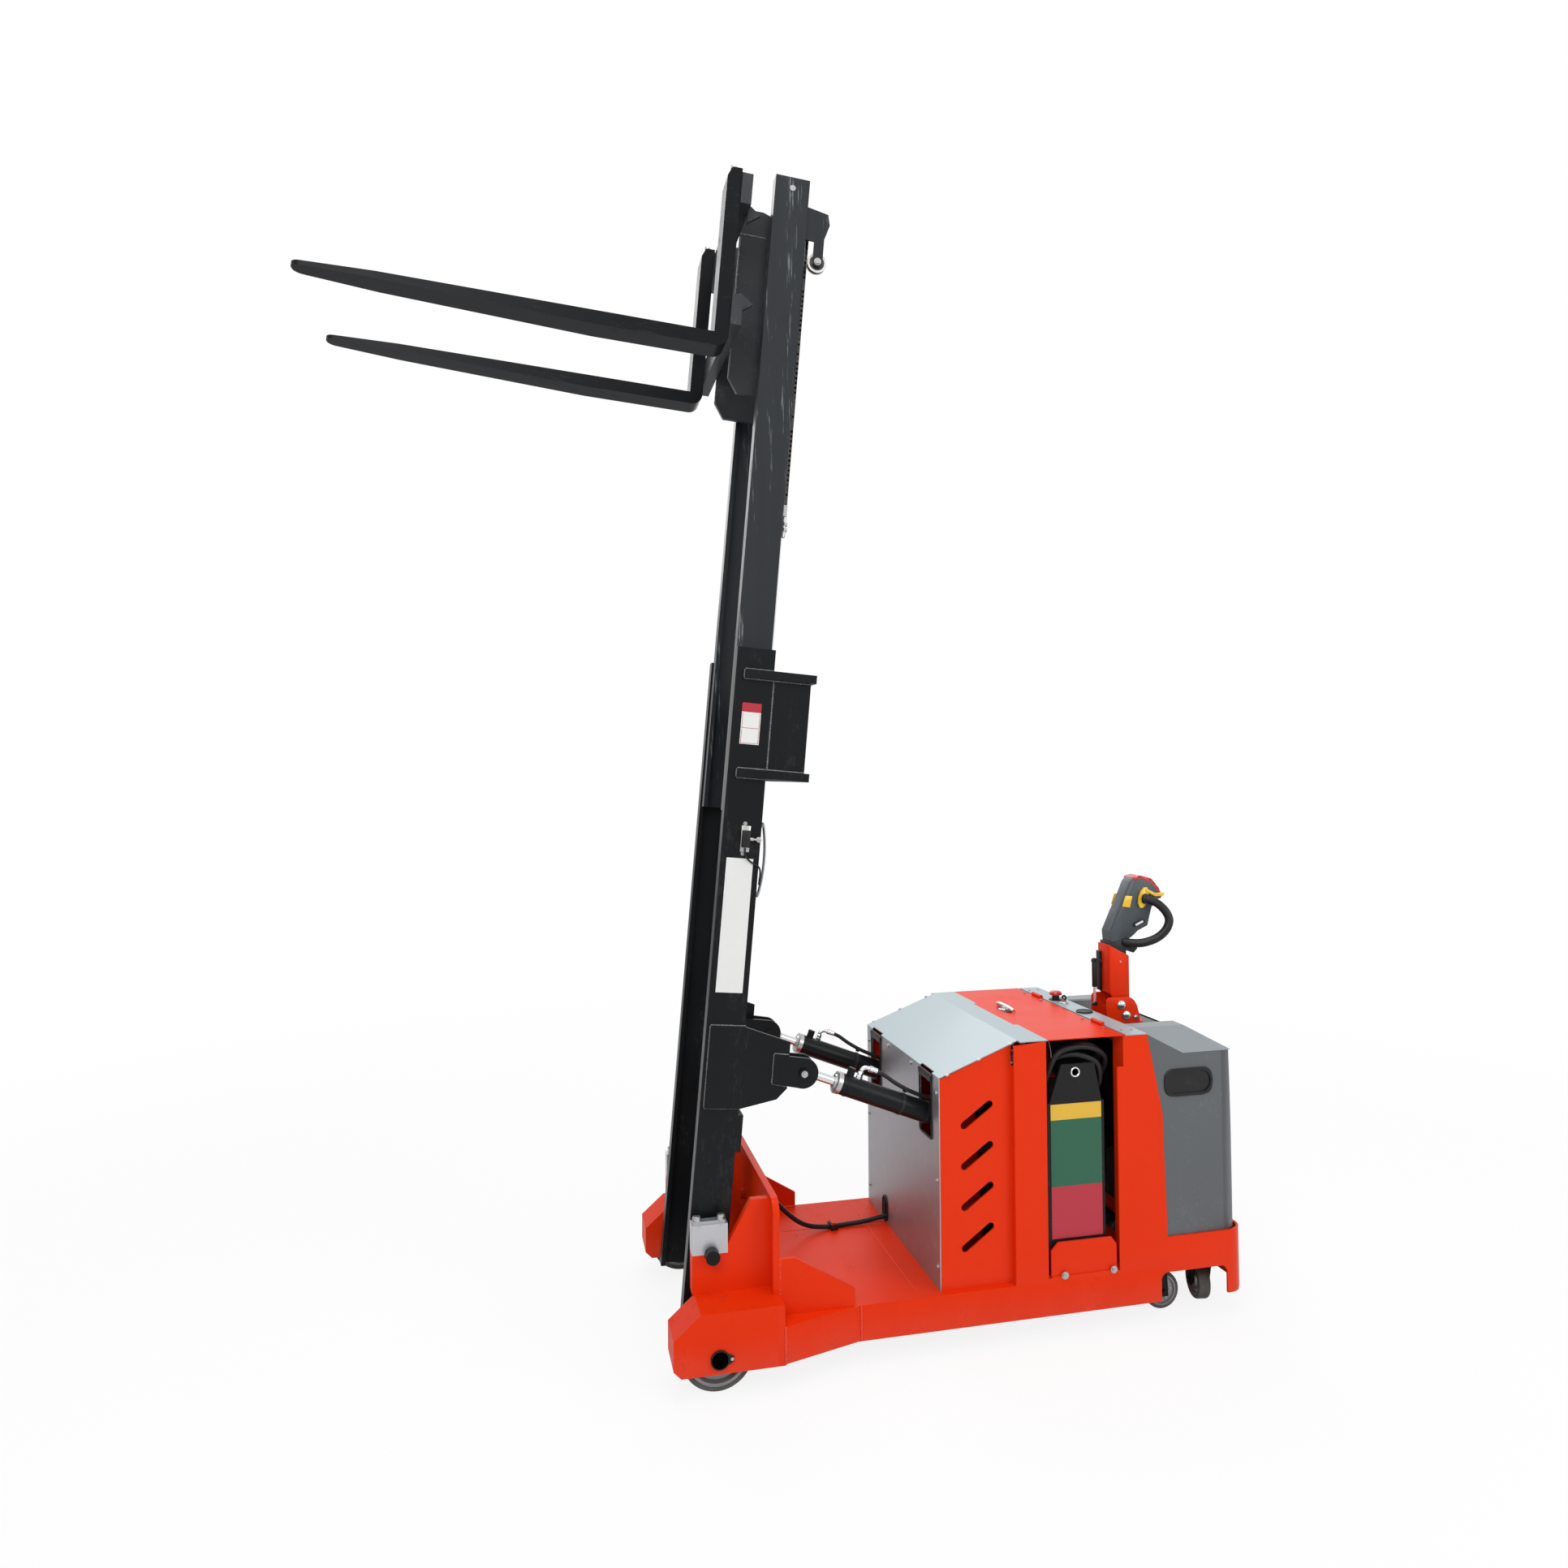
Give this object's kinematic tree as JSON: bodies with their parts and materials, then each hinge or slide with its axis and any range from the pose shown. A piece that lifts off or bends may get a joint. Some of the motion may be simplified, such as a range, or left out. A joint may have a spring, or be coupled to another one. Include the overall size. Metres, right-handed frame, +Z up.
{
  "type": "counterbalanced pallet stacker",
  "caption": "Walk-behind counterbalanced pallet stacker with a tilting telescopic mast, forks, battery bay and a tiller.",
  "frame": {"origin": "on the floor under the middle of the whole machine", "axes": "+Z up, the forks point to -X, the tiller is at +X and +Y is the machine's right side"},
  "size_m": [2.9348, 0.954, 3.6733],
  "materials": {
    "body_paint": "gloss",
    "hood_paint": "satin",
    "zinc_sheet": "satin",
    "cover_paint": "satin",
    "cast_mass": "matte",
    "mast_paint": "satin",
    "bright_steel": "polished",
    "chain_steel": "oiled",
    "black_plastic": "satin",
    "grey_plastic": "satin",
    "red_plastic": "gloss",
    "hose_rubber": "matte",
    "tread": "matte"
  },
  "bodies": {
    "chassis": {"base_frame": "body_paint", "bulkhead": "body_paint", "leg_left": "body_paint", "leg_right": "body_paint", "front_axles": "bright_steel", "mast_pedestals": "body_paint", "bearing_caps": "zinc_sheet", "side_frame_left": "body_paint", "side_frame_right": "body_paint", "side_panel_left": "body_paint", "side_panel_right": "body_paint", "front_panel": "zinc_sheet", "hood_sheet": "hood_paint", "console_panel": "hood_paint", "console_controls": "red_plastic", "rear_skirt": "body_paint", "rear_shelf": "body_paint", "counterweight_cover": "cover_paint", "grip_rims": "black_plastic", "counterweight_block": "cast_mass", "battery": "mast_paint", "battery_retainers": "body_paint", "pump_unit": "cast_mass", "tilt_anchors": "body_paint", "deck_hose": "hose_rubber"},
    "lid": {"battery_lid": "body_paint", "lid_latch": "bright_steel"},
    "mast": {"outer_mast": "mast_paint", "tilt_brackets": "mast_paint", "upper_bracket": "mast_paint", "lift_cylinders": "mast_paint", "limit_switch": "black_plastic"},
    "inner_mast": {"inner_mast": "mast_paint", "lift_rods": "bright_steel", "chain_pulleys": "chain_steel", "chains": "chain_steel"},
    "carriage": {"carriage": "mast_paint", "fork_left": "mast_paint", "fork_right": "mast_paint"},
    "steering": {"drive_unit": "cast_mass", "tiller_clevis": "body_paint"},
    "drive_wheel": {"drive_wheel": "tread"},
    "tiller": {"tiller_arm": "body_paint", "tiller_head": "grey_plastic", "tiller_handles": "black_plastic", "gas_spring": "black_plastic"},
    "front_wheel_left": {"front_wheel_left": "tread"},
    "front_wheel_right": {"front_wheel_right": "tread"},
    "caster_front_left": {"caster_fork_front_left": "mast_paint"},
    "caster_wheel_front_left": {"caster_wheel_front_left": "tread"},
    "caster_front_right": {"caster_fork_front_right": "mast_paint"},
    "caster_wheel_front_right": {"caster_wheel_front_right": "tread"},
    "caster_rear_left": {"caster_fork_rear_left": "mast_paint"},
    "caster_wheel_rear_left": {"caster_wheel_rear_left": "tread"},
    "caster_rear_right": {"caster_fork_rear_right": "mast_paint"},
    "caster_wheel_rear_right": {"caster_wheel_rear_right": "tread"},
    "tilt_barrel_left": {"tilt_barrel_left": "mast_paint"},
    "tilt_rod_left": {"tilt_rod_left": "bright_steel"},
    "tilt_barrel_right": {"tilt_barrel_right": "mast_paint"},
    "tilt_rod_right": {"tilt_rod_right": "bright_steel"}
  },
  "joints": [
    {"name": "front_wheel_left_spin", "type": "hinge", "parent": "chassis", "child": "front_wheel_left", "pos_m": [-0.2786, -0.403, 0.106], "axis": [0, 1, 0], "continuous": true},
    {"name": "front_wheel_right_spin", "type": "hinge", "parent": "chassis", "child": "front_wheel_right", "pos_m": [-0.2786, 0.403, 0.106], "axis": [0, 1, 0], "continuous": true},
    {"name": "steering_turn", "type": "hinge", "parent": "chassis", "child": "steering", "pos_m": [1.2704, 0, 0.25], "axis": [0, 0, 1], "range_deg": [-90, 90]},
    {"name": "drive_wheel_spin", "type": "hinge", "parent": "steering", "child": "drive_wheel", "pos_m": [1.2704, 0, 0.115], "axis": [0, 1, 0], "continuous": true},
    {"name": "tiller_lower", "type": "hinge", "parent": "steering", "child": "tiller", "pos_m": [1.2214, 0, 0.935], "axis": [0, 1, 0], "range_deg": [0, 45]},
    {"name": "lid_open", "type": "hinge", "parent": "chassis", "child": "lid", "pos_m": [1.0364, 0, 0.9235], "axis": [0, 1, 0], "range_deg": [0, 95]},
    {"name": "caster_front_left_swivel", "type": "hinge", "parent": "chassis", "child": "caster_front_left", "pos_m": [1.1834, -0.296, 0.1], "axis": [0, 0, 1], "continuous": true},
    {"name": "caster_wheel_front_left_spin", "type": "hinge", "parent": "caster_front_left", "child": "caster_wheel_front_left", "pos_m": [1.2094, -0.296, 0.06], "axis": [0, 1, 0], "continuous": true},
    {"name": "caster_front_right_swivel", "type": "hinge", "parent": "chassis", "child": "caster_front_right", "pos_m": [1.1834, 0.296, 0.1], "axis": [0, 0, 1], "continuous": true},
    {"name": "caster_wheel_front_right_spin", "type": "hinge", "parent": "caster_front_right", "child": "caster_wheel_front_right", "pos_m": [1.2094, 0.296, 0.06], "axis": [0, 1, 0], "continuous": true},
    {"name": "caster_rear_left_swivel", "type": "hinge", "parent": "chassis", "child": "caster_rear_left", "pos_m": [1.3654, -0.296, 0.1], "axis": [0, 0, 1], "continuous": true},
    {"name": "caster_wheel_rear_left_spin", "type": "hinge", "parent": "caster_rear_left", "child": "caster_wheel_rear_left", "pos_m": [1.36991, -0.27039, 0.06], "axis": [-0.9848, 0.1736, 0], "continuous": true},
    {"name": "caster_rear_right_swivel", "type": "hinge", "parent": "chassis", "child": "caster_rear_right", "pos_m": [1.3654, 0.296, 0.1], "axis": [0, 0, 1], "continuous": true},
    {"name": "caster_wheel_rear_right_spin", "type": "hinge", "parent": "caster_rear_right", "child": "caster_wheel_rear_right", "pos_m": [1.36991, 0.27039, 0.06], "axis": [0.9848, 0.1736, 0], "continuous": true},
    {"name": "mast_tilt", "type": "hinge", "parent": "chassis", "child": "mast", "pos_m": [-0.2816, 0, 0.346], "axis": [0, 1, 0], "range_deg": [-7, 0]},
    {"name": "inner_mast_lift", "type": "slide", "parent": "mast", "child": "inner_mast", "axis": [0.0872, 0, 0.9962], "range_m": [-1.517, 0]},
    {"name": "carriage_lift", "type": "slide", "parent": "inner_mast", "child": "carriage", "axis": [0.0872, 0, 0.9962], "range_m": [-1.517, 0]},
    {"name": "tilt_barrel_left_swing", "type": "hinge", "parent": "chassis", "child": "tilt_barrel_left", "pos_m": [0.5304, -0.262, 0.637], "axis": [0, 1, 0], "range_deg": [-0.2, 1]},
    {"name": "tilt_rod_left_slide", "type": "slide", "parent": "tilt_barrel_left", "child": "tilt_rod_left", "axis": [-0.9308, 0, 0.3656], "range_m": [-0.001, 0.072]},
    {"name": "tilt_barrel_right_swing", "type": "hinge", "parent": "chassis", "child": "tilt_barrel_right", "pos_m": [0.5304, 0.262, 0.637], "axis": [0, 1, 0], "range_deg": [-0.2, 1]},
    {"name": "tilt_rod_right_slide", "type": "slide", "parent": "tilt_barrel_right", "child": "tilt_rod_right", "axis": [-0.9308, 0, 0.3656], "range_m": [-0.001, 0.072]}
  ],
  "couplings": [
    {"joint": "carriage_lift", "follows": "inner_mast_lift", "ratio": 1},
    {"joint": "tilt_barrel_left_swing", "follows": "mast_tilt", "ratio": -0.09949},
    {"joint": "tilt_rod_left_slide", "follows": "mast_tilt", "m_per_rad": -0.57206},
    {"joint": "tilt_barrel_right_swing", "follows": "mast_tilt", "ratio": -0.09949},
    {"joint": "tilt_rod_right_slide", "follows": "mast_tilt", "m_per_rad": -0.57206}
  ]
}
